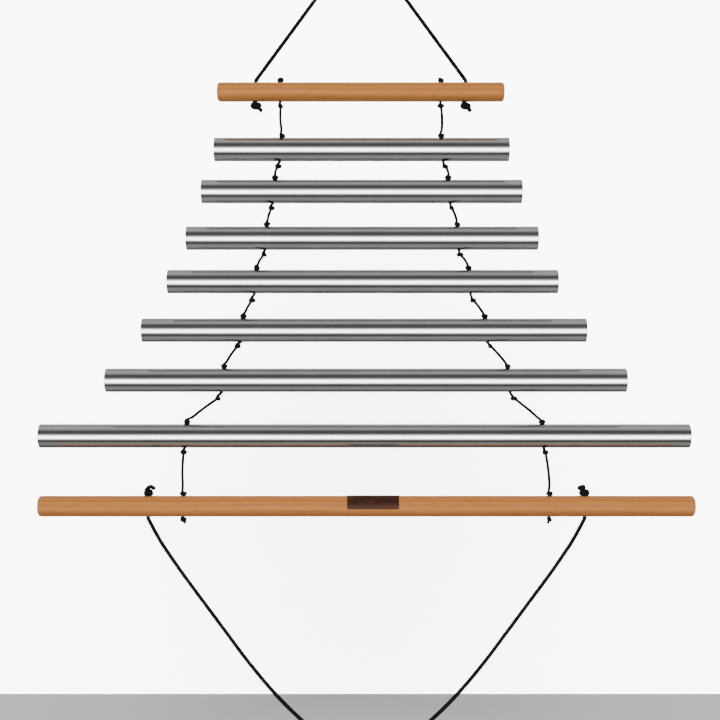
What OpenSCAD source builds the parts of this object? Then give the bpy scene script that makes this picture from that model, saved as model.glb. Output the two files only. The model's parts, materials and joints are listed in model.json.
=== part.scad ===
// Hanging tube xylophone: seven metal tubes strung on two knotted cords between two wooden rods.
// Millimetres, +Z up, +X along the tubes, hanging as played. The origin is the point
// where a hook bears on the underside of the hanger cord's bend.

/* [Tubes] */
// Outer diameter of every tube
tube_d = 25; // [19:0.5:30]
// Wall thickness of every tube
tube_wall = 2; // [1:0.25:3]
// Length of the first tube, the shortest
tube_1_length = 312; // [260:1:400]
// Length of the second tube
tube_2_length = 339; // [280:1:430]
// Length of the third tube
tube_3_length = 372; // [300:1:470]
// Length of the fourth tube
tube_4_length = 413; // [340:1:520]
// Length of the fifth tube
tube_5_length = 470; // [380:1:590]
// Length of the sixth tube
tube_6_length = 551; // [450:1:690]
// Length of the seventh tube, the longest
tube_7_length = 688; // [560:1:860]
// Share of a tube's length outside each cord hole, where a sounding tube stays still
still_share = 0.224; // [0.2:0.002:0.25]

/* [Spacing] */
// Drop from the middle of the top rod to the middle of tube 1
drop_1 = 61; // [50:0.5:90]
// Drop from tube 1 to tube 2
drop_2 = 44.5; // [42:0.5:80]
// Drop from tube 2 to tube 3
drop_3 = 49.5; // [42:0.5:80]
// Drop from tube 3 to tube 4
drop_4 = 46; // [42:0.5:80]
// Drop from tube 4 to tube 5
drop_5 = 51.5; // [46:0.5:80]
// Drop from tube 5 to tube 6
drop_6 = 53; // [44:0.5:80]
// Drop from tube 6 to tube 7
drop_7 = 59; // [48:0.5:90]
// Drop from tube 7 to the bottom rod
drop_8 = 74.5; // [50:0.5:110]

/* [Rods] */
// Length of the top rod
top_rod_length = 304; // [270:1:380]
// Diameter of the top rod
top_rod_d = 20.5; // [16:0.5:28]
// Length of the bottom rod
bottom_rod_length = 695; // [520:1:840]
// Diameter of the bottom rod
bottom_rod_d = 22; // [16:0.5:28]
// Radius of the rounded rod ends
rod_round = 3.5; // [1:0.5:6]
// Distance between the string holes of the top rod
top_string_span = 170; // [120:1:200]
// Distance between the string holes of the bottom rod
bottom_string_span = 388; // [300:1:430]
// Distance between the hanger cord's holes
hanger_span = 223; // [215:1:250]
// Distance between the tie cord's holes
tie_span = 463; // [445:1:500]
// Chamfer at each hole's mouth in the rods
mouth = 1; // [0.5:0.25:1.5]

/* [Cords and knots] */
// Diameter of the two strings
string_d = 2.2; // [1.5:0.1:3]
// Diameter of a knot in a string
knot_d = 5.8; // [5:0.1:8]
// Diameter of the hanger and tie cords
cord_d = 4; // [3:0.25:5]
// Diameter of the knots at the ends of the hanger and tie cords
big_knot_d = 9.6; // [8:0.2:12]
// Length of the loose tail of a big knot, from the knot's middle
tail_length = 9; // [6:0.5:14]
// Room round a string in its hole, on the diameter
string_room = 1.4; // [0.6:0.1:2]
// Room round a hanger or tie cord in its hole, on the diameter
cord_room = 0.8; // [0.4:0.1:1.5]

/* [Label] */
// Length of the blank label along the bottom rod
label_length = 55; // [30:1:90]
// How far the label reaches round the rod, in degrees
label_arc = 106; // [60:1:150]
// How far the label's middle is turned up from the front, in degrees
label_turn = 42; // [0:1:90]
// Distance from the bottom rod's middle to the label's middle
label_shift = 7; // [-100:1:100]
// Thickness of the label
label_thick = 0.5; // [0.3:0.1:1]

/* [Hidden] */
$fn = 64;

// Small gap between pieces that must not touch
gap = 0.3;
// Gap between a knot or label and what it sits on
seat = 0.1;
// Distance from a rod's surface to the pivot of a thick cord at its hole
pivot_gap = 1.5;
// Sides of a thick cord's tube
cord_sides = 10;

string_hole_d = string_d + string_room;
cord_hole_d = cord_d + cord_room;
lengths = [top_rod_length, tube_1_length, tube_2_length, tube_3_length, tube_4_length,
    tube_5_length, tube_6_length, tube_7_length, bottom_rod_length];
diameters = [top_rod_d, tube_d, tube_d, tube_d, tube_d, tube_d, tube_d, tube_d, bottom_rod_d];
drops = [0, drop_1, drop_2, drop_3, drop_4, drop_5, drop_6, drop_7, drop_8];
// How far each piece, from the top rod to the bottom rod, has swung to the right
sways = [0, 1, 1, 1.5, 2, 3.5, 5.5, 4, 6];
// How far the middles of each piece's lower knots hang below it
knot_drops = [4, 5, 4.5, 4.5, 7, 4, 6.5, 4.5, 1.5];

// Left half of the hanger cord's route as [x, z], from its hole to the bend at the hook
hanger_route = [[-111.5, -143], [-104, -132.8], [-96.5, -122.6], [-89, -112.4], [-81.5, -102.2],
    [-74, -92], [-66.5, -81.8], [-59, -71.6], [-51.5, -61.4], [-44, -51.2], [-36.5, -41],
    [-29, -30.8], [-21.5, -20.6], [-14, -10.4], [-8, -2.1], [-4, 1.2], [0, 2]];
// Left half of the tie cord's route, measured from its pivots under the bottom rod
tie_route = [[-231.5, 0], [-225, -12.5], [-217, -26.5], [-207, -41.5], [-195.5, -58],
    [-183, -75], [-170, -92.5], [-157, -110], [-144, -127.5], [-131, -145], [-118, -161.5],
    [-105, -177], [-91, -192.5], [-76.5, -207], [-61.5, -220.5], [-46, -232.5],
    [-30.5, -242], [-15, -248.5], [0, -251]];

// Height of the middle of piece i: 0 is the top rod, 8 the bottom rod
function middle(i) = i == 0 ? hanger_route[0][1] - pivot_gap - top_rod_d / 2
    : middle(i - 1) - drops[i];
function radius(i) = diameters[i] / 2;
// Distance of a string from the middle of piece i
function reach(i) = i == 0 ? top_string_span / 2
    : i == 8 ? bottom_string_span / 2
    : lengths[i] * (0.5 - still_share);
function string_x(i, side) = sways[i] + side * reach(i);
// Height of a ball of diameter d above the surface when it sits on a hole's rim of the given
// diameter, or on the 45 degree chamfer below that rim
function lift(d, rim) = let (r = d / 2 + seat)
    max(sqrt(max(r * r - rim * rim / 4, 0)), sqrt(2) * r - rim / 2);
function small_lift(i) = lift(knot_d, string_hole_d + (i == 0 || i == 8 ? 2 * mouth : 0));
function upper_knot(i, side) =
    [string_x(i, side), 0, middle(i) + radius(i) + small_lift(i)];
function lower_knot(i, side) =
    [string_x(i, side), 0, middle(i) - radius(i) - max(knot_drops[i], small_lift(i))];

// A route's left half and its mirror image, as points in space
function whole(route) = concat(
    [for (p = route) [p[0], 0, p[1]]],
    [for (k = [len(route) - 2:-1:0]) [-route[k][0], 0, route[k][1]]]);
function heading(path, k) =
    let (d = path[min(k + 1, len(path) - 1)] - path[max(k - 1, 0)]) d / norm(d);
function ring(path, k, r, sides) = [for (j = [0:sides - 1])
    let (a = 360 * j / sides)
    path[k] + r * (cos(a) * [0, 1, 0] + sin(a) * cross(heading(path, k), [0, 1, 0]))];

// One closed tube along a path
module swept(path, d, sides) {
    last = len(path) - 1;
    points = [for (k = [0:last]) each ring(path, k, d / 2, sides)];
    walls = [for (k = [0:last - 1], j = [0:sides - 1])
        let (n = (j + 1) % sides)
        [k * sides + j, k * sides + n, (k + 1) * sides + n, (k + 1) * sides + j]];
    start = [for (j = [sides - 1:-1:0]) j];
    end = [for (j = [0:sides - 1]) last * sides + j];
    polyhedron(points = points, faces = concat([start], walls, [end]), convexity = 4);
}

// A straight round run of cord between two points of the XZ plane
module run(p, q, d) {
    translate(p) rotate([0, atan2(q[0] - p[0], q[2] - p[2]), 0])
        cylinder(h = norm(q - p), d = d);
}

module ball(p, d) {
    translate(p) sphere(d = d);
}

// A rod along X with rounded ends
module rounded_rod(length, d) {
    rotate([0, 90, 0]) rotate_extrude() {
        translate([0, -length / 2 + rod_round]) square([d / 2, length - 2 * rod_round]);
        translate([0, -length / 2]) square([d / 2 - rod_round, length]);
        for (side = [-1, 1])
            translate([d / 2 - rod_round, side * (length / 2 - rod_round)]) circle(r = rod_round);
    }
}

// An upright hole right through a piece of diameter d, chamfered at both mouths
module drilled(x, hole, d) {
    translate([x, 0, 0]) {
        cylinder(h = 2 * d, d = hole, center = true);
        for (flip = [0, 180]) rotate([flip, 0, 0])
            translate([0, 0, d / 2 - mouth]) cylinder(h = 2 * mouth, d1 = hole, d2 = hole + 4 * mouth);
    }
}

module drilled_rod(i, string_span, cord_span) {
    color([0.71, 0.51, 0.33]) translate([sways[i], 0, middle(i)]) difference() {
        rounded_rod(lengths[i], diameters[i]);
        for (side = [-1, 1]) {
            drilled(side * string_span / 2, string_hole_d, diameters[i]);
            drilled(side * cord_span / 2, cord_hole_d, diameters[i]);
        }
    }
}

module top_rod() {
    drilled_rod(0, top_string_span, hanger_span);
}

module bottom_rod() {
    drilled_rod(8, bottom_string_span, tie_span);
}

// A tube with a cord hole through both walls at each of its two still points
module tube(i) {
    color([0.68, 0.69, 0.68]) translate([sways[i], 0, middle(i)]) difference() {
        rotate([0, 90, 0]) difference() {
            cylinder(h = lengths[i], d = tube_d, center = true);
            cylinder(h = lengths[i] + 2, d = tube_d - 2 * tube_wall, center = true);
        }
        for (side = [-1, 1]) translate([side * reach(i), 0, 0])
            cylinder(h = 2 * tube_d, d = string_hole_d, center = true);
    }
}

// One string's stretch for piece i: the link from the knot above, the knot on top of the
// piece, the run through it and the knot below it
module string(i, side) {
    color([0.06, 0.06, 0.07]) {
        ball(upper_knot(i, side), knot_d);
        run(lower_knot(i, side), upper_knot(i, side), string_d);
        ball(lower_knot(i, side), knot_d);
        if (i > 0) {
            knot = lower_knot(i - 1, side);
            toward = upper_knot(i, side) - knot;
            run(knot + toward / norm(toward) * (knot_d / 2 + gap), upper_knot(i, side), string_d);
        }
    }
}

// A thick cord's end inside a rod: its run through the hole, the stopper knot and a tail
module stopper(x, z, d, up, lean) {
    knot = [x, 0, z + up * (d / 2 + lift(big_knot_d, cord_hole_d + 2 * mouth))];
    mouth_point = [x, 0, z - up * (d / 2 - gap)];
    tip = knot + tail_length * [lean, 0, up] / norm([lean, 0, up]);
    color([0.06, 0.06, 0.07]) {
        ball(knot, big_knot_d);
        if (up > 0) {
            run(mouth_point, knot, cord_d);
            run(knot, tip, cord_d);
        } else {
            run(knot, mouth_point, cord_d);
            run(tip, knot, cord_d);
        }
    }
}

module hanger_knot(side) {
    stopper(sways[0] + side * hanger_span / 2, middle(0), top_rod_d, -1, side < 0 ? 1 : 0.8);
}

module tie_knot(side) {
    stopper(sways[8] + side * tie_span / 2, middle(8), bottom_rod_d, 1, side * 1.5);
}

module hanger_cord() {
    color([0.06, 0.06, 0.07]) swept(whole(hanger_route), cord_d, cord_sides);
}

module tie_cord() {
    color([0.06, 0.06, 0.07])
        translate([sways[8], 0, middle(8) - bottom_rod_d / 2 - pivot_gap])
            swept(whole(tie_route), cord_d, cord_sides);
}

// A thin blank label bent round the upper front of the bottom rod
module label() {
    inner = bottom_rod_d / 2 + seat / 2;
    color([0.27, 0.16, 0.11])
        translate([sways[8] + label_shift - label_length / 2, 0, middle(8)])
            rotate([-label_turn - label_arc / 2, 0, 0]) rotate([0, 90, 0]) rotate([0, 0, -90])
                rotate_extrude(angle = label_arc)
                    translate([inner, 0]) square([label_thick, label_length]);
}

hanger_cord();
hanger_knot(-1);  // left_hanger_knot
hanger_knot(1);  // right_hanger_knot
top_rod();
for (i = [1:7]) tube(i);
bottom_rod();
label();
tie_knot(-1);  // left_tie_knot
tie_knot(1);  // right_tie_knot
tie_cord();
for (i = [0:8]) string(i, -1);
for (i = [0:8]) string(i, 1);
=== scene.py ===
import json
import math

import bmesh
import bpy
import numpy as np
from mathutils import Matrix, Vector


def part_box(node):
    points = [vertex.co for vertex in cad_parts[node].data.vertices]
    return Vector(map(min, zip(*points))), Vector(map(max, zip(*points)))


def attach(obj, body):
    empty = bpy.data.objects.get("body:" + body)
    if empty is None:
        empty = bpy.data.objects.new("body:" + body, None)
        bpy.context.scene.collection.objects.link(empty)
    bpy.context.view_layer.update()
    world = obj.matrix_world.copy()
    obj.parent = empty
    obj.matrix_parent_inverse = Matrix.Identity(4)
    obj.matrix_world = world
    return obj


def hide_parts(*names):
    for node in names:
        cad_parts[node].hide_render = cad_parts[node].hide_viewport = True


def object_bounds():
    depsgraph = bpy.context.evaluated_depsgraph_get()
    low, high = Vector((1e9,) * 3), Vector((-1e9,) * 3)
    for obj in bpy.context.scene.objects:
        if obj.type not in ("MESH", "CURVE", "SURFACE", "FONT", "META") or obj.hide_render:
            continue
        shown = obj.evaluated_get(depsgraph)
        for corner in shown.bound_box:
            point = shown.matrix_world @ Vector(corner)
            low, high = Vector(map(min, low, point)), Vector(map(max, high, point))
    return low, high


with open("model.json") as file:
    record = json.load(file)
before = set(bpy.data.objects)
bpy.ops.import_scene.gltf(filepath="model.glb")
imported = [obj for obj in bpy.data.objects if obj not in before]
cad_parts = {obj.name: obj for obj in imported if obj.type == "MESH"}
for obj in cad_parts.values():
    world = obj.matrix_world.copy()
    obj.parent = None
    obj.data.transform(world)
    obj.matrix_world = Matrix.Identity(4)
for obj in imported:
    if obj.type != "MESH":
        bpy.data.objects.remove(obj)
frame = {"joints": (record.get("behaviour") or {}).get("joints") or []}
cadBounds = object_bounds()

mm = 0.001
sides = {"left": -1, "right": 1}
rowPieces = ["top_rod"] + [f"tube_{k}" for k in range(1, 8)] + ["bottom_rod"]
lastPiece = len(rowPieces) - 1
pivotHeight = {j["child"]: j["pos_m"][2] for j in frame["joints"]}
cordSpan = {"top_rod": 223, "bottom_rod": 463}      # mm between a rod's two thick-cord holes


# small helpers

def linearColour(hexCode):
    # sRGB hex to the linear values that the shaders want
    channels = [int(hexCode[k:k + 2], 16) / 255 for k in (1, 3, 5)]
    return tuple(c / 12.92 if c <= 0.04045 else ((c + 0.055) / 1.055) ** 2.4 for c in channels) + (1.0,)


def addNode(tree, kind, settings=None, links=None):
    # settings go to the node's own property, or else to the input socket of that name
    node = tree.nodes.new(kind)
    for name, value in (settings or {}).items():
        if isinstance(name, str) and hasattr(node, name):
            setattr(node, name, value)
        else:
            node.inputs[name].default_value = value
    for name, source in (links or {}).items():
        tree.links.new(source, node.inputs[name])
    return node


def setRamp(node, stops):
    ramp = node.color_ramp
    while len(ramp.elements) < len(stops):
        ramp.elements.new(0.5)
    for element, (place, colour) in zip(ramp.elements, stops):
        element.position = place
        element.color = colour


def mixColours(tree, share, first, second):
    # each colour is a fixed value or another node's output
    mix = addNode(tree, "ShaderNodeMix", {"data_type": "RGBA"}, {"Factor": share})
    for name, colour in (("A", first), ("B", second)):
        if isinstance(colour, tuple):
            mix.inputs[name].default_value = colour
        else:
            tree.links.new(colour, mix.inputs[name])
    return next(s for s in mix.outputs if s.type == "RGBA")


def startMaterial(name, settings):
    material = bpy.data.materials.new(name)
    material.use_nodes = True
    tree = material.node_tree
    tree.nodes.clear()
    shader = addNode(tree, "ShaderNodeBsdfPrincipled", settings)
    addNode(tree, "ShaderNodeOutputMaterial", links={"Surface": shader.outputs["BSDF"]})
    place = addNode(tree, "ShaderNodeTexCoord").outputs["Object"]
    return material, tree, shader, place


def newPiece(name, points, faces, materials, sharpAngle=35):
    mesh = bpy.data.meshes.new(name)
    mesh.from_pydata([tuple(p) for p in points], [], [tuple(f) for f in faces])
    mesh.validate()
    mesh.shade_smooth()
    mesh.set_sharp_from_angle(angle=math.radians(sharpAngle))
    for material in materials:
        mesh.materials.append(material)
    piece = bpy.data.objects.new(name, mesh)
    bpy.context.scene.collection.objects.link(piece)
    return piece


def finishPiece(piece, body, node):
    # the piece moves with its body and stands in for the CAD node
    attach(piece, body)
    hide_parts(node)


def middleOf(node):
    low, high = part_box(node)
    return (Vector(low) + Vector(high)) / 2


def ringFaces(rings, count):
    # quads between each ring of points and the next one
    faces = []
    for k in range(rings - 1):
        for j in range(count):
            n = (j + 1) % count
            faces.append((k * count + j, k * count + n, (k + 1) * count + n, (k + 1) * count + j))
    return faces


def endFaces(rings, count):
    return [tuple(range(count - 1, -1, -1)), tuple((rings - 1) * count + j for j in range(count))]


# camera, at the front of the hanging ladder, about 1.4 m away

view = {
    "distance": 1404.5,     # mm from the plane of the tubes
    "width": 763.2,         # mm of that plane from side to side
    "middle": (-0.8, -438.8),   # mm, what the middle of the view looks at
    "sensor": 36,           # mm
}


def makeCamera():
    camera = bpy.data.objects.new("camera", bpy.data.cameras.new("camera"))
    bpy.context.scene.collection.objects.link(camera)
    camera.data.sensor_width = view["sensor"]
    camera.data.lens = view["sensor"] * view["distance"] / view["width"]
    camera.location = (view["middle"][0] * mm, -view["distance"] * mm, view["middle"][1] * mm)
    camera.rotation_euler = (math.radians(90), 0, 0)
    bpy.context.scene.camera = camera


makeCamera()
print("camera placed")


# materials

aluminium = {
    "colour": "#d9d9d6",
    "dull": "#bfc0bb",      # where handling has dulled it
    "roughness": 0.16,
    "lineSpacing": 0.35,    # mm between the fine drawn lines, coarser than real so that they show
    "lineLength": 60,       # mm, how far a drawn line runs along the tube
    "lineDepth": 0.02,      # mm
    "cloud": 45,            # mm, size of the dull patches
}


def satinAluminium():
    # drawn aluminium tube, polished along its length: this gives a crisp bright band, dark bands
    # beside it and faint long streaks
    material, tree, shader, place = startMaterial("satin_polished_aluminium", {"Metallic": 1.0})
    acrossLines = 1 / (aluminium["lineSpacing"] * mm)
    along = addNode(tree, "ShaderNodeMapping",
                    {"Scale": (1 / (aluminium["lineLength"] * mm), acrossLines, acrossLines)},
                    {"Vector": place})
    lines = addNode(tree, "ShaderNodeTexNoise", {"Scale": 1.0, "Detail": 3.0, "Roughness": 0.6},
                    {"Vector": along.outputs["Vector"]})
    clouds = addNode(tree, "ShaderNodeTexNoise",
                     {"Scale": 1 / (aluminium["cloud"] * mm), "Detail": 4.0, "Roughness": 0.65},
                     {"Vector": place})
    streaked = addNode(tree, "ShaderNodeMath", {"operation": "MULTIPLY_ADD", 1: 0.6, 2: -0.3},
                       {0: lines.outputs["Fac"]})
    worn = addNode(tree, "ShaderNodeMath", {"operation": "ADD", "use_clamp": True},
                   {0: clouds.outputs["Fac"], 1: streaked.outputs["Value"]})
    tone = mixColours(tree, worn.outputs["Value"], linearColour(aluminium["colour"]),
                      linearColour(aluminium["dull"]))
    tree.links.new(tone, shader.inputs["Base Color"])
    rough = addNode(tree, "ShaderNodeMapRange",
                    {"From Min": 0.3, "From Max": 0.7, "To Min": aluminium["roughness"] * 0.97,
                     "To Max": aluminium["roughness"] * 1.03}, {"Value": lines.outputs["Fac"]})
    tree.links.new(rough.outputs["Result"], shader.inputs["Roughness"])
    bump = addNode(tree, "ShaderNodeBump", {"Strength": 0.02, "Distance": aluminium["lineDepth"] * mm},
                   {"Height": lines.outputs["Fac"]})
    tree.links.new(bump.outputs["Normal"], shader.inputs["Normal"])
    return material


beech = {
    "light": "#d28b46",
    "dark": "#a86029",
    "fleck": "#54290f",
    "ringWidth": 5.2,       # mm between growth rings, coarser than real so that they show
    "pith": (31, 44),       # mm behind and above the rod's axis, where the middle of the tree lay
    "fibre": 0.22,          # mm across a fibre streak, coarser than real so that it shows
    "fibreLength": 14,      # mm
    "fibreDepth": 0.08,     # mm
    "fleckSize": (3.2, 0.75),   # mm, length and width of the dark ray flecks
}


def oiledBeech(name, axisHeight):
    # turned beech dowel, oiled: this gives an orange-brown satin face, faint long rings and
    # short dark ray flecks
    material, tree, shader, place = startMaterial(
        name, {"Roughness": 0.5, "IOR": 1.45, "Specular IOR Level": 0.35})
    fromPith = addNode(tree, "ShaderNodeMapping",
                       {"Location": (0, -beech["pith"][0] * mm, -axisHeight - beech["pith"][1] * mm),
                        "Scale": (0.06, 1, 1)}, {"Vector": place})
    ringScale = math.pi / 10 / (beech["ringWidth"] * mm)    # at scale 1 a wave is pi / 10 long
    rings = addNode(tree, "ShaderNodeTexWave",
                    {"wave_type": "RINGS", "rings_direction": "X", "Scale": ringScale, "Distortion": 3.5,
                     "Detail": 2.0, "Detail Scale": 2.0}, {"Vector": fromPith.outputs["Vector"]})
    acrossFibres = 1 / (beech["fibre"] * mm)
    fine = addNode(tree, "ShaderNodeMapping",
                   {"Scale": (1 / (beech["fibreLength"] * mm), acrossFibres, acrossFibres)},
                   {"Vector": place})
    fibres = addNode(tree, "ShaderNodeTexNoise", {"Scale": 1.0, "Detail": 4.0, "Roughness": 0.6},
                     {"Vector": fine.outputs["Vector"]})
    alongFlecks, acrossFlecks = [1 / (size * mm) / 2 for size in beech["fleckSize"]]
    stretched = addNode(tree, "ShaderNodeMapping", {"Scale": (alongFlecks, acrossFlecks, acrossFlecks)},
                        {"Vector": place})
    flecks = addNode(tree, "ShaderNodeTexVoronoi", {"Scale": 1.0, "Randomness": 1.0},
                     {"Vector": stretched.outputs["Vector"]})
    fleckMask = addNode(tree, "ShaderNodeMapRange",
                        {"From Min": 0.12, "From Max": 0.3, "To Min": 1.0, "To Max": 0.0},
                        {"Value": flecks.outputs["Distance"]})
    mixRings = addNode(tree, "ShaderNodeMath", {"operation": "MULTIPLY_ADD", 1: 0.25},
                       {0: rings.outputs["Fac"], 2: fibres.outputs["Fac"]})
    tone = addNode(tree, "ShaderNodeValToRGB", links={"Fac": mixRings.outputs["Value"]})
    setRamp(tone, [(0.3, linearColour(beech["light"])), (1.0, linearColour(beech["dark"]))])
    # only the cells with a high random number keep their fleck
    chance = addNode(tree, "ShaderNodeSeparateColor", links={"Color": flecks.outputs["Color"]})
    chosen = addNode(tree, "ShaderNodeMapRange",
                     {"From Min": 0.66, "From Max": 0.98, "To Min": 0.0, "To Max": 0.9},
                     {"Value": chance.outputs["Red"]})
    weaker = addNode(tree, "ShaderNodeMath", {"operation": "MULTIPLY"},
                     {0: fleckMask.outputs["Result"], 1: chosen.outputs["Result"]})
    flecked = mixColours(tree, weaker.outputs["Value"], tone.outputs["Color"], linearColour(beech["fleck"]))
    tree.links.new(flecked, shader.inputs["Base Color"])
    bump = addNode(tree, "ShaderNodeBump", {"Strength": 0.35, "Distance": beech["fibreDepth"] * mm},
                   {"Height": fibres.outputs["Fac"]})
    tree.links.new(bump.outputs["Normal"], shader.inputs["Normal"])
    return material


polyester = {
    "thread": "#020203",
    "worn": "#0b0b0c",
    "filament": 0.12,       # mm across a bundle of filaments, coarser than one so that it shows
    "filamentDepth": 0.06,  # mm
}


def braidedPolyester():
    # black braided polyester: this gives a matt near-black that only pales a little at grazing angles
    material, tree, shader, place = startMaterial(
        "braided_polyester", {"Roughness": 0.85, "IOR": 1.5, "Sheen Weight": 0.03, "Sheen Roughness": 0.4,
                               "Specular IOR Level": 0.15})
    filaments = addNode(tree, "ShaderNodeTexNoise",
                        {"Scale": 1 / (polyester["filament"] * mm) / 2, "Detail": 2.0, "Roughness": 0.7},
                        {"Vector": place})
    tone = addNode(tree, "ShaderNodeValToRGB", links={"Fac": filaments.outputs["Fac"]})
    setRamp(tone, [(0.35, linearColour(polyester["thread"])), (0.8, linearColour(polyester["worn"]))])
    tree.links.new(tone.outputs["Color"], shader.inputs["Base Color"])
    bump = addNode(tree, "ShaderNodeBump", {"Strength": 0.5, "Distance": polyester["filamentDepth"] * mm},
                   {"Height": filaments.outputs["Fac"]})
    tree.links.new(bump.outputs["Normal"], shader.inputs["Normal"])
    return material


leather = {
    "face": "#30180d",
    "rubbed": "#452716",
    "cut": "#6b4429",       # the burnished cut edge
    "grain": 0.9,           # mm across a pebble of the grain
    "grainDepth": 0.12,     # mm
    "patch": 9,             # mm, size of the rubbed patches
}


def waxedLeather(name, dark, light):
    # thin waxed leather: this gives a dark brown pebbled face, a little lighter where it is rubbed
    material, tree, shader, place = startMaterial(
        name, {"Roughness": 0.55, "IOR": 1.5, "Specular IOR Level": 0.2})
    grain = addNode(tree, "ShaderNodeTexVoronoi", {"Scale": 1 / (leather["grain"] * mm), "Randomness": 1.0},
                    {"Vector": place})
    rubbed = addNode(tree, "ShaderNodeTexNoise",
                     {"Scale": 1 / (leather["patch"] * mm), "Detail": 5.0, "Roughness": 0.7},
                     {"Vector": place})
    tone = addNode(tree, "ShaderNodeValToRGB", links={"Fac": rubbed.outputs["Fac"]})
    setRamp(tone, [(0.4, linearColour(dark)), (0.72, linearColour(light))])
    tree.links.new(tone.outputs["Color"], shader.inputs["Base Color"])
    bump = addNode(tree, "ShaderNodeBump", {"Strength": 0.4, "Distance": leather["grainDepth"] * mm},
                   {"Height": grain.outputs["Distance"]})
    tree.links.new(bump.outputs["Normal"], shader.inputs["Normal"])
    return material


tubeMetal = satinAluminium()
cordBlack = braidedPolyester()
leatherFace = waxedLeather("waxed_leather", leather["face"], leather["rubbed"])
leatherEdge = waxedLeather("burnished_leather_edge", leather["rubbed"], leather["cut"])
print("materials made")


# cords: one closed tube along a smooth route, with the braid's strands standing up from it

def smoothRoute(points, step):
    # a centripetal Catmull-Rom curve through the points, cut into equal steps
    points = np.array(points, dtype=float)
    padded = np.vstack([2 * points[0] - points[1], points, 2 * points[-1] - points[-2]])
    gaps = np.linalg.norm(np.diff(padded, axis=0), axis=1)
    knots = np.concatenate([[0], np.cumsum(np.sqrt(gaps) + 1e-6)])

    def blend(a, b, from_, to, t):
        return (a * (to - t) + b * (t - from_)) / (to - from_)

    fine = []
    for k in range(1, len(padded) - 2):
        p0, p1, p2, p3 = padded[k - 1:k + 3]
        t0, t1, t2, t3 = knots[k - 1:k + 3]
        for t in np.linspace(t1, t2, 12, endpoint=False):
            near = blend(blend(p0, p1, t0, t1, t), blend(p1, p2, t1, t2, t), t0, t2, t)
            far = blend(blend(p1, p2, t1, t2, t), blend(p2, p3, t2, t3, t), t1, t3, t)
            fine.append(blend(near, far, t1, t2, t))
    fine = np.array(fine + [points[-1]])
    run = np.concatenate([[0], np.cumsum(np.linalg.norm(np.diff(fine, axis=0), axis=1))])
    stops = np.linspace(0, run[-1], max(4, int(run[-1] / step)))
    return np.column_stack([np.interp(stops, run, fine[:, k]) for k in range(3)]), stops


def braidedTube(points, look):
    # two sets of strands wind round the cord, and where they cross they go over and under in turn
    path, run = smoothRoute(points, look["step"] * mm)
    halfThick = look["diameter"] / 2 * mm
    ahead = np.gradient(path, axis=0)
    ahead /= np.linalg.norm(ahead, axis=1)[:, None]
    normal = np.cross(ahead[0], (0.3, 1, 0.2))
    angles = np.linspace(0, 2 * math.pi, look["sides"], endpoint=False)
    rings = []
    for place, direction, distance in zip(path, ahead, run):
        normal = normal - direction * np.dot(normal, direction)
        normal /= np.linalg.norm(normal)
        across = np.cross(direction, normal)
        turnShare, alongShare = angles / (2 * math.pi) * look["strands"], distance / (look["stitch"] * mm)
        left, right = turnShare + alongShare, turnShare - alongShare
        over = (np.floor(left) + np.floor(right)) % 2
        crown = np.maximum(np.abs(np.sin(math.pi * left)) * (0.6 + 0.4 * over),
                           np.abs(np.sin(math.pi * right)) * (1 - 0.4 * over))
        radius = halfThick * (1 - look["relief"] + look["relief"] * crown)
        # the ends are rounded over
        radius = radius * min(1, math.sqrt(2.5 * min(distance, run[-1] - distance) / halfThick + 0.3))
        outwards = np.cos(angles)[:, None] * normal + np.sin(angles)[:, None] * across
        rings.append(place + radius[:, None] * outwards)
    faces = ringFaces(len(rings), look["sides"]) + endFaces(len(rings), look["sides"])
    return np.vstack(rings), faces, path


def knotLoops(middle, size, turn, squash=0.7, tight=0.32, turns=1.5, steps=16):
    # the wraps of an overhand knot, as points from its top round to its bottom
    points = []
    for k in range(1, steps):
        sweep = turns * 2 * math.pi * k / steps
        outward = size * (1 - tight + tight * math.cos(1.5 * sweep))
        deep = size * tight * math.sin(1.5 * sweep)
        flat = outward * math.cos(math.pi / 2 + sweep)
        points.append((middle[0] + flat * math.cos(turn) - deep * math.sin(turn),
                       middle[1] + flat * math.sin(turn) + deep * math.cos(turn),
                       middle[2] + squash * outward * math.sin(math.pi / 2 + sweep)))
    return points


def addCord(name, points, look, body, node):
    vertices, faces, path = braidedTube(points, look)
    piece = newPiece(name, vertices, faces, [cordBlack], sharpAngle=60)
    finishPiece(piece, body, node)
    return piece, path


thickCord = {
    "diameter": 4.5,        # mm, fuller than the CAD's 4, so that it shows against the bright wall
    "strands": 6,           # strands each way round the braid
    "stitch": 2.2,          # mm along the cord for one crossing
    "relief": 0.14,         # how deep the braid's grooves are, as a share of the radius
    "sides": 36,
    "step": 0.5,            # mm between rings
    "knotSize": 4.3,        # mm, middle of the knot to the middle of its outer strand
    "knotLift": 3.9,        # mm, middle of the knot off the rod's surface
    "overlap": 1.2,         # mm that a stopper starts beyond its pivot, inside the free cord's end
    "inRod": 2.5,           # mm inside the rod's far surface where the straight stretch ends
    "tail": 9.0,            # mm
}

# left halves of the routes in mm, as [x, z]: the hanger cord from its pivot over the top rod to the
# hook, and the tie cord from its pivot under the bottom rod to its lowest point
hangerRoute = [[-111.5, -143], [-104, -132.8], [-96.5, -122.6], [-89, -112.4], [-81.5, -102.2],
               [-74, -92], [-66.5, -81.8], [-59, -71.6], [-51.5, -61.4], [-44, -51.2], [-36.5, -41],
               [-29, -30.8], [-21.5, -20.6], [-14, -10.4], [-8, -2.1], [-4, 1.2], [0, 2]]
tieRoute = [[-231.5, 0], [-225, -12.5], [-217, -26.5], [-207, -41.5], [-195.5, -58],
            [-183, -75], [-170, -92.5], [-157, -110], [-144, -127.5], [-131, -145], [-118, -161.5],
            [-105, -177], [-91, -192.5], [-76.5, -207], [-61.5, -220.5], [-46, -232.5],
            [-30.5, -242], [-15, -248.5], [0, -251]]


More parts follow.
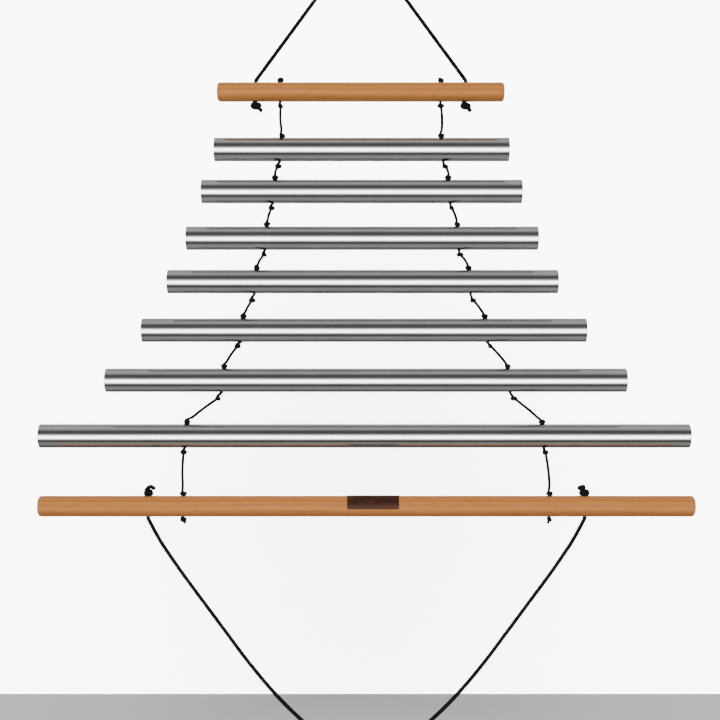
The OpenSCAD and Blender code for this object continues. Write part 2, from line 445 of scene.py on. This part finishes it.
def wholeRoute(half, x, z):
    points = [(a, b) for a, b in half] + [(-a, b) for a, b in reversed(half[:-1])]
    return [(a * mm + x, 0, b * mm + z) for a, b in points]


def makeFreeCords():
    for name, node, body, route, x, z, lay in (
            ("hangerCord", "hanger_cord", "hanger", hangerRoute, 0, 0, "taut"),
            ("tieCord", "tie_cord", "tie", tieRoute, middleOf("bottom_rod").x, pivotHeight["tie"],
             "hanging")):
        points = wholeRoute(route, x, z)
        piece, path = addCord(name, points, thickCord, body, node)


def throughRod(node, side, pivot, way, lean):
    # from just beyond the pivot through the rod's hole: way is 1 up or -1 down, lean is in mm
    low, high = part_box(node)
    surface = high[2] if way > 0 else low[2]
    x = middleOf(node).x + side * cordSpan[node] / 2 * mm
    points = [(x - side * lean * mm, 0, pivot - way * thickCord["overlap"] * mm)]
    points += [(x, 0, pivot + way * 1.5 * mm), (x, 0, pivot + way * 4 * mm), (x, 0, middleOf(node).z),
               (x, 0, surface - way * thickCord["inRod"] * mm)]
    return points, x, surface + way * thickCord["knotLift"] * mm


def makeStoppers():
    # the thick cords' ends: through the rod, an overhand knot on the far side and a cut tail
    size, tail = thickCord["knotSize"] * mm, thickCord["tail"] * mm
    for word, side in sides.items():
        points, x, z = throughRod("top_rod", side, pivotHeight["top_rod"], -1, 0.9)
        knot = Vector((x - side * 0.5 * mm, -1.6 * mm, z))
        points += knotLoops(knot, size, 0.25 * side)
        lean = 0.75 if side < 0 else 0.6
        points += [(knot.x + lean * 0.45 * tail, knot.y - 1.2 * mm, knot.z - 0.4 * tail),
                   (knot.x + lean * tail, knot.y - 1.2 * mm, knot.z - 0.78 * tail)]
        addCord(f"{word}HangerKnot", points, thickCord, "top_rod", f"{word}_hanger_knot")

        points, x, z = throughRod("bottom_rod", side, pivotHeight["tie"], 1, 0.6)
        knot = Vector((x - side * 0.6 * mm, 0, z))
        points += reversed(knotLoops(knot, size, 0.5 - 0.3 * side))
        points += [(knot.x - side * 0.1 * tail, knot.y - 1.5 * mm, knot.z + 0.62 * tail),
                   (knot.x - side * 0.5 * tail, knot.y - 1.8 * mm, knot.z + 0.6 * tail),
                   (knot.x - side * 0.72 * tail, knot.y - 1.8 * mm, knot.z + 0.3 * tail)]
        addCord(f"{word}TieKnot", points, thickCord, "bottom_rod", f"{word}_tie_knot")


string = {
    "diameter": 3.2,        # mm, fuller than the CAD's 2.2, so that it shows against the bright wall
    "strands": 5,
    "stitch": 1.5,          # mm
    "relief": 0.14,
    "sides": 20,
    "step": 0.34,           # mm
    "knotSize": 2.5,        # mm
    "endKnotDrop": 2.7,     # mm, middle of the last knot under the bottom rod
    "stillShare": 0.224,    # of a tube's length, outside each cord hole
    "topSpan": 170,         # mm between the string holes of the top rod
    "bottomSpan": 388,      # mm
    "liftTube": 2.7,        # mm, middle of the knot above a tube over the tube's top
    "liftRod": 2.6,         # the same over a rod, where the hole's mouth takes the knot in
    "inward": 1.8,          # mm the knot above a tube is drawn to the middle by the string
    "outward": [0, 2.4, 1.9, 1.2, 3.3, 4.3, 4.8, 1.9, 0],   # mm the knot below each piece is drawn out
    "slack": [1.0, 1.4, 0.8, 1.2, 0.6, 0.8, 1.0, 1.2],   # mm that each link bows outwards
}


def holeOffset(index):
    if index == 0:
        return string["topSpan"] / 2 * mm
    if index == lastPiece:
        return string["bottomSpan"] / 2 * mm
    low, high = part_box(rowPieces[index])
    return (high[0] - low[0]) * (0.5 - string["stillShare"])


def lowerKnot(index, side):
    x = middleOf(rowPieces[index]).x + side * (holeOffset(index) + string["outward"][index] * mm)
    if index < lastPiece:
        return Vector((x, 0, pivotHeight[rowPieces[index + 1]]))
    return Vector((x, 0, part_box(rowPieces[index])[0][2] - string["endKnotDrop"] * mm))


def upperKnot(index, side):
    inward = string["inward"] * mm if 0 < index < lastPiece else 0
    x = middleOf(rowPieces[index]).x + side * (holeOffset(index) - inward)
    lift = string["liftRod"] if index in (0, lastPiece) else string["liftTube"]
    return Vector((x, 0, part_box(rowPieces[index])[1][2] + lift * mm))


def makeStrings():
    for word, side in sides.items():
        for index, node in enumerate(rowPieces):
            low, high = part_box(node)
            hole = middleOf(node).x + side * holeOffset(index)
            above, below = upperKnot(index, side), lowerKnot(index, side)
            turn = 0.55 * math.sin(2.1 * index + side)      # each knot is turned differently
            points = []
            if index == 0:
                points += [(above.x - side * 2.6 * mm, 0.8 * mm, above.z + 1.2 * mm)]
            else:
                start = lowerKnot(index - 1, side)
                bow = side * string["slack"][index - 1] * mm
                points.append(tuple(start))
                for share in (0.3, 0.55, 0.8):
                    point = start.lerp(above, share)
                    points.append((point.x + bow * math.sin(math.pi * share), 0, point.z))
            size = string["knotSize"] * mm
            points += knotLoops(above, size, turn)
            points += [(hole, 0, high[2] - 1.2 * mm), (hole, 0, middleOf(node).z),
                       (hole, 0, low[2] + 1.2 * mm)]
            points += knotLoops(below, size, 0.4 - turn)
            if index == lastPiece:
                points += [(below.x - side * 1.2 * mm, -0.8 * mm, below.z - 2.6 * mm),
                           (below.x - side * 2.4 * mm, -1.0 * mm, below.z - 4.6 * mm)]
            else:
                points.append(tuple(below))
            addCord(f"{word}String{index}", points, string, node, f"{word}_string_{index}")


makeFreeCords()
makeStoppers()
makeStrings()
print("cords and knots made")


# tubes and rods: turned about X, with their cord holes cut through

def turned(profile, x, z, segments):
    # profile is a closed or open line of (x, radius); each point becomes a ring round X
    points = []
    for along, radius in profile:
        for k in range(segments):
            a = 2 * math.pi * k / segments
            points.append((x + along, radius * math.sin(a), z + radius * math.cos(a)))
    return points, ringFaces(len(profile), segments)


def cutHoles(piece, cutters):
    for number, (points, faces) in enumerate(cutters):
        mesh = bpy.data.meshes.new("cutter")
        mesh.from_pydata(points, [], faces)
        cutter = bpy.data.objects.new("cutter", mesh)
        bpy.context.scene.collection.objects.link(cutter)
        modifier = piece.modifiers.new(f"hole{number}", "BOOLEAN")
        modifier.object = cutter
        modifier.solver = "EXACT"
    bpy.context.view_layer.update()
    cut = bpy.data.meshes.new_from_object(piece.evaluated_get(bpy.context.evaluated_depsgraph_get()))
    for modifier in list(piece.modifiers):
        cutter = modifier.object
        piece.modifiers.remove(modifier)
        bpy.data.objects.remove(cutter)
    piece.data = cut
    cut.shade_smooth()
    cut.set_sharp_from_angle(angle=math.radians(32))


def drill(x, profile, segments=32):
    # an upright cutter: profile is a list of (height, radius) from low to high
    points = []
    for height, radius in profile:
        for k in range(segments):
            a = 2 * math.pi * k / segments
            points.append((x + radius * math.cos(a), radius * math.sin(a), height))
    return points, ringFaces(len(profile), segments) + endFaces(len(profile), segments)


tube = {
    "wall": 2.0,            # mm
    "edge": 0.4,            # mm, deburred rounding at the tube's cut ends
    "hole": 3.6,            # mm
    "holeMargin": 5,        # mm from a hole's middle to the rings of points beside it
    "segments": 96,
}


def roundedEdge(x, radius, size, quarter, steps=5):
    # a quarter of a circle in the profile: quarter says which way its middle lies, (x, radius)
    middle = (x + quarter[0] * size, radius + quarter[1] * size)
    return [(middle[0] - quarter[0] * size * math.cos(math.pi / 2 * k / steps),
             middle[1] - quarter[1] * size * math.sin(math.pi / 2 * k / steps)) for k in range(steps + 1)]


def makeTubes():
    for index in range(1, lastPiece):
        node = rowPieces[index]
        low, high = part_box(node)
        middle = middleOf(node)
        half, outer = (high[0] - low[0]) / 2, (high[2] - low[2]) / 2
        inner, edge = outer - tube["wall"] * mm, tube["edge"] * mm
        reach, margin = holeOffset(index), tube["holeMargin"] * mm
        loops = [-reach - margin, -reach + margin, reach - margin, reach + margin]
        leftEdge = roundedEdge(-half, outer, edge, (1, -1))
        rightEdge = [(-x, r) for x, r in reversed(leftEdge)]
        quarters = [math.pi / 2 * k / 4 for k in range(5)]
        innerRight = [(half - edge + edge * math.cos(a), inner + edge * (1 - math.sin(a))) for a in quarters]
        innerLeft = [(-x, r) for x, r in reversed(innerRight)]
        profile = leftEdge + [(x, outer) for x in loops] + rightEdge + innerRight
        profile += [(x, inner) for x in reversed(loops)] + innerLeft
        profile.append(profile[0])
        points, faces = turned(profile, middle.x, middle.z, tube["segments"])
        last = (len(profile) - 1) * tube["segments"]    # the last ring is the first one again
        faces = [tuple(v - last if v >= last else v for v in f) for f in faces]
        piece = newPiece(f"tube{index}", points[:last], faces, [tubeMetal])
        bore = tube["hole"] / 2 * mm
        drilled = [(middle.z - 2 * outer, bore), (middle.z + 2 * outer, bore)]
        cutHoles(piece, [drill(middle.x + side * reach, drilled) for side in sides.values()])
        finishPiece(piece, node, node)


rod = {
    "round": 3.5,           # mm, at the rod's ends
    "mouth": 1.0,           # mm, depth of the chamfer at a hole's mouth
    "segments": 72,
    "stringHole": 3.6,      # mm
    "cordHole": 4.8,        # mm
    "holeMargin": 6,        # mm from a hole's middle to the rings of points beside it
}


def makeRods():
    for index in (0, lastPiece):
        node = rowPieces[index]
        low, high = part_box(node)
        middle = middleOf(node)
        half, radius, bend = (high[0] - low[0]) / 2, (high[2] - low[2]) / 2, rod["round"] * mm
        holes = {}
        for side in sides.values():
            holes[side * holeOffset(index)] = rod["stringHole"] / 2 * mm
            holes[side * cordSpan[node] / 2 * mm] = rod["cordHole"] / 2 * mm
        end = [(-half, 0.0001 * mm), (-half, (radius - bend) * 0.5)]    # the first ring is joined to a point
        end += roundedEdge(-half, radius, bend, (1, -1), 9)
        margin = rod["holeMargin"] * mm
        loops = sorted(x + shift for x in holes for shift in (-margin, margin))
        profile = end + [(x, radius) for x in loops] + [(-x, r) for x, r in reversed(end)]
        points, faces = turned(profile, middle.x, middle.z, rod["segments"])
        wood = oiledBeech(f"oiled_beech_{node}", middle.z)
        piece = newPiece(node.replace("_r", "R"), points, faces, [wood])
        mesh = bmesh.new()
        mesh.from_mesh(piece.data)
        bmesh.ops.remove_doubles(mesh, verts=mesh.verts, dist=0.001 * mm)
        mesh.to_mesh(piece.data)
        mesh.free()
        mouth = rod["mouth"] * mm
        cutters = []
        for x, bore in holes.items():
            profile = [(middle.z - radius - mouth, bore + 2 * mouth), (middle.z - radius + mouth, bore),
                       (middle.z + radius - mouth, bore), (middle.z + radius + mouth, bore + 2 * mouth)]
            cutters.append(drill(middle.x + x, profile))
        cutHoles(piece, cutters)
        finishPiece(piece, node, node)


makeTubes()
makeRods()
print("tubes and rods made")


# the blank leather label, bent round the upper front of the bottom rod

label = {
    "length": 55.0,
    "arc": 106.0,           # degrees round the rod
    "turn": 42.0,           # degrees that its middle is turned up from the front
    "shift": 7.0,           # mm right of the rod's middle
    "thick": 0.5,           # mm
    "gap": 0.05,            # mm of glue under it
    "corner": 2.2,          # mm, radius of its corners
    "edge": 0.7,            # mm of the rim that rounds over
    "steps": (110, 44),     # grid cells along and across
}


def makeLabel():
    middle = middleOf("bottom_rod")
    low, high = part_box("bottom_rod")
    radius = (high[2] - low[2]) / 2 + label["gap"] * mm
    halfLength, halfWidth = label["length"] / 2, radius / mm * math.radians(label["arc"]) / 2
    corner, along, across = label["corner"], *label["steps"]
    points, distances = [], []
    for layer in (1, 0):
        for i in range(along + 1):
            for j in range(across + 1):
                # rows crowd towards the rim so that it rounds over smoothly
                u = math.sin(math.pi / 2 * (2 * i / along - 1))
                v = math.sin(math.pi / 2 * (2 * j / across - 1))
                x = u * halfLength
                inside = max(0.0, abs(x) - (halfLength - corner))
                reach = halfWidth - corner + math.sqrt(max(corner ** 2 - inside ** 2, 0))
                y = v * reach
                rim = min(halfLength - abs(x), reach - abs(y))
                overRim = 1 - min(1, rim / label["edge"])
                height = label["thick"] * layer * math.sqrt(max(0, 1 - overRim ** 2))
                angle = math.radians(label["turn"]) + y * mm / radius
                r = radius + height * mm
                points.append((middle.x + (label["shift"] + x) * mm, -r * math.cos(angle),
                               middle.z + r * math.sin(angle)))
                distances.append(rim)
    faces, rows = [], across + 1
    offset = (along + 1) * rows
    for i in range(along):
        for j in range(across):
            a, b, c, d = i * rows + j, (i + 1) * rows + j, (i + 1) * rows + j + 1, i * rows + j + 1
            faces.append((a, b, c, d))
            faces.append((offset + d, offset + c, offset + b, offset + a))
    piece = newPiece("label", points, faces, [leatherFace, leatherEdge], sharpAngle=50)
    for polygon in piece.data.polygons:
        rims = [distances[v] for v in polygon.vertices]
        polygon.material_index = 1 if max(rims) < label["edge"] else 0
    mesh = bmesh.new()
    mesh.from_mesh(piece.data)
    bmesh.ops.remove_doubles(mesh, verts=mesh.verts, dist=0.01 * mm)
    bmesh.ops.recalc_face_normals(mesh, faces=mesh.faces)
    mesh.to_mesh(piece.data)
    mesh.free()
    finishPiece(piece, "bottom_rod", "label")


makeLabel()
print("label made")


# studio: a white wall behind, a pale floor, soft lights

studio = {
    "wall": "#f7f8f9",
    "wallUnseen": "#3e3e3f",    # what the wall gives back, so that the object isn't lit from behind
    "floor": "#eeeeec",
    "halfWidth": 2.5,       # m, of the wall and the floor
    "wallGap": 490,         # mm between the tubes' backs and the wall, room for the joints to swing
    "floorDrop": 60,        # mm from the lowest cord to the floor
    "key": (2.1, 38, 34),   # strength, degrees above the front, and degrees of spread
    "fill": (0.9, 4, 70),
    "wallLight": (32, 24, 62),
    "plain": "#f6f7f8",     # the room's own colour
    "room": 0.32,           # even light from all round
    "secondMirror": 0.75,   # the room as a tube shows it in another tube
    "backdrop": 6.0,        # the room as the camera sees it
}

# what the metal mirrors round the X axis, as degrees up from the front and brightness: a bright
# middle, dark flags above and below it, and a dim room beyond
surround = [(-180, 0.30), (-136, 0.26), (-115, 0.21), (-98, 0.27), (-84, 0.36), (-72, 0.40), (-60, 0.15),
            (-49, 0.07), (-39, 0.16), (-30, 1.3), (-20, 7.5), (-9, 12.0), (2, 5.4), (11, 1.0), (21, 0.26),
            (31, 0.13), (41, 0.105), (51, 0.125), (62, 0.32), (74, 0.58), (87, 0.62), (101, 0.55), (118, 0.4),
            (142, 0.6), (180, 0.30)]
mirrorTop = max(level for degrees, level in surround)


def addSheet(name, corners, colour):
    mesh = bpy.data.meshes.new(name)
    mesh.from_pydata(corners, [], [(0, 1, 2, 3)])
    sheet = bpy.data.objects.new(name, mesh)
    bpy.context.scene.collection.objects.link(sheet)
    material = bpy.data.materials.new(f"{name}_paint")
    material.use_nodes = True
    tree = material.node_tree
    tree.nodes.clear()
    paint = addNode(tree, "ShaderNodeBsdfDiffuse", {"Color": linearColour(colour)})
    output = addNode(tree, "ShaderNodeOutputMaterial", links={"Surface": paint.outputs["BSDF"]})
    mesh.materials.append(material)
    return sheet, tree, paint, output


def makeStage():
    size = studio["halfWidth"]
    tubeLow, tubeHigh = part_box("tube_1")
    back = (tubeHigh[2] - tubeLow[2]) / 2 + studio["wallGap"] * mm
    corners = [(-size, back, -size), (size, back, -size), (size, back, size), (-size, back, size)]
    wall, tree, paint, output = addSheet("wall", corners, studio["wall"])
    # the wall can be seen only from the front, so that views from behind look through it
    # and it gives the object only a little of its light
    seen = addNode(tree, "ShaderNodeLightPath").outputs["Is Camera Ray"]
    tone = mixColours(tree, seen, linearColour(studio["wallUnseen"]), linearColour(studio["wall"]))
    tree.links.new(tone, paint.inputs["Color"])
    clear = addNode(tree, "ShaderNodeBsdfTransparent")
    faceSide = addNode(tree, "ShaderNodeNewGeometry")
    both = addNode(tree, "ShaderNodeMixShader", links={
        0: faceSide.outputs["Backfacing"], 1: paint.outputs["BSDF"], 2: clear.outputs["BSDF"]})
    tree.links.new(both.outputs["Shader"], output.inputs["Surface"])

    z = cadBounds[0][2] - studio["floorDrop"] * mm
    corners = [(-size, -size, z), (size, -size, z), (size, size, z), (-size, size, z)]
    floor = addSheet("floor", corners, studio["floor"])[0]
    floor.visible_glossy = False
    return wall


def makeLights(wall):
    for name in ("key", "fill", "wallLight"):
        strength, height, spread = studio[name]
        light = bpy.data.lights.new(name, "SUN")
        light.energy = strength
        light.angle = math.radians(spread)
        lamp = bpy.data.objects.new(name, light)
        lamp.rotation_euler = (math.radians(90 - height), 0, 0)
        lamp.visible_glossy = False
        if name == "wallLight":
            # this one lights only the wall, and the object still shades it
            onlyWall = bpy.data.collections.new("wall_only")
            onlyWall.objects.link(wall)
            lamp.light_linking.receiver_collection = onlyWall
        bpy.context.scene.collection.objects.link(lamp)


def plainRoom(tree, strength):
    settings = {"Color": linearColour(studio["plain"]), "Strength": strength}
    return addNode(tree, "ShaderNodeBackground", settings).outputs["Background"]


def makeWorld():
    world = bpy.data.worlds.new("studio")
    bpy.context.scene.world = world
    world.use_nodes = True
    tree = world.node_tree
    tree.nodes.clear()
    direction = addNode(tree, "ShaderNodeTexCoord").outputs["Generated"]
    parts = addNode(tree, "ShaderNodeSeparateXYZ", links={"Vector": direction})
    towards = addNode(tree, "ShaderNodeMath", {"operation": "MULTIPLY", 1: -1.0}, {0: parts.outputs["Y"]})
    angle = addNode(tree, "ShaderNodeMath", {"operation": "ARCTAN2"},
                    {0: parts.outputs["Z"], 1: towards.outputs["Value"]})
    share = addNode(tree, "ShaderNodeMapRange", {"From Min": -math.pi, "From Max": math.pi},
                    {"Value": angle.outputs["Value"]})
    ramp = addNode(tree, "ShaderNodeValToRGB", links={"Fac": share.outputs["Result"]})
    setRamp(ramp, [((degrees + 180) / 360, (level / mirrorTop,) * 3 + (1,)) for degrees, level in surround])
    banded = addNode(tree, "ShaderNodeBackground", {"Strength": mirrorTop}, {"Color": ramp.outputs["Color"]})
    rays = addNode(tree, "ShaderNodeLightPath")
    # only the first mirroring sees the bands: a tube seen in another tube stays plain
    deeper = addNode(tree, "ShaderNodeMath", {"operation": "GREATER_THAN", 1: 1.5},
                     {0: rays.outputs["Glossy Depth"]})
    shiny = addNode(tree, "ShaderNodeMixShader", links={
        0: deeper.outputs["Value"], 1: banded.outputs["Background"],
        2: plainRoom(tree, studio["secondMirror"])})
    mirrored = addNode(tree, "ShaderNodeMixShader", links={
        0: rays.outputs["Is Glossy Ray"], 1: plainRoom(tree, studio["room"]), 2: shiny.outputs["Shader"]})
    both = addNode(tree, "ShaderNodeMixShader", links={
        0: rays.outputs["Is Camera Ray"], 1: mirrored.outputs["Shader"],
        2: plainRoom(tree, studio["backdrop"])})
    addNode(tree, "ShaderNodeOutputWorld", links={"Surface": both.outputs["Shader"]})


makeLights(makeStage())
makeWorld()
print("studio made")
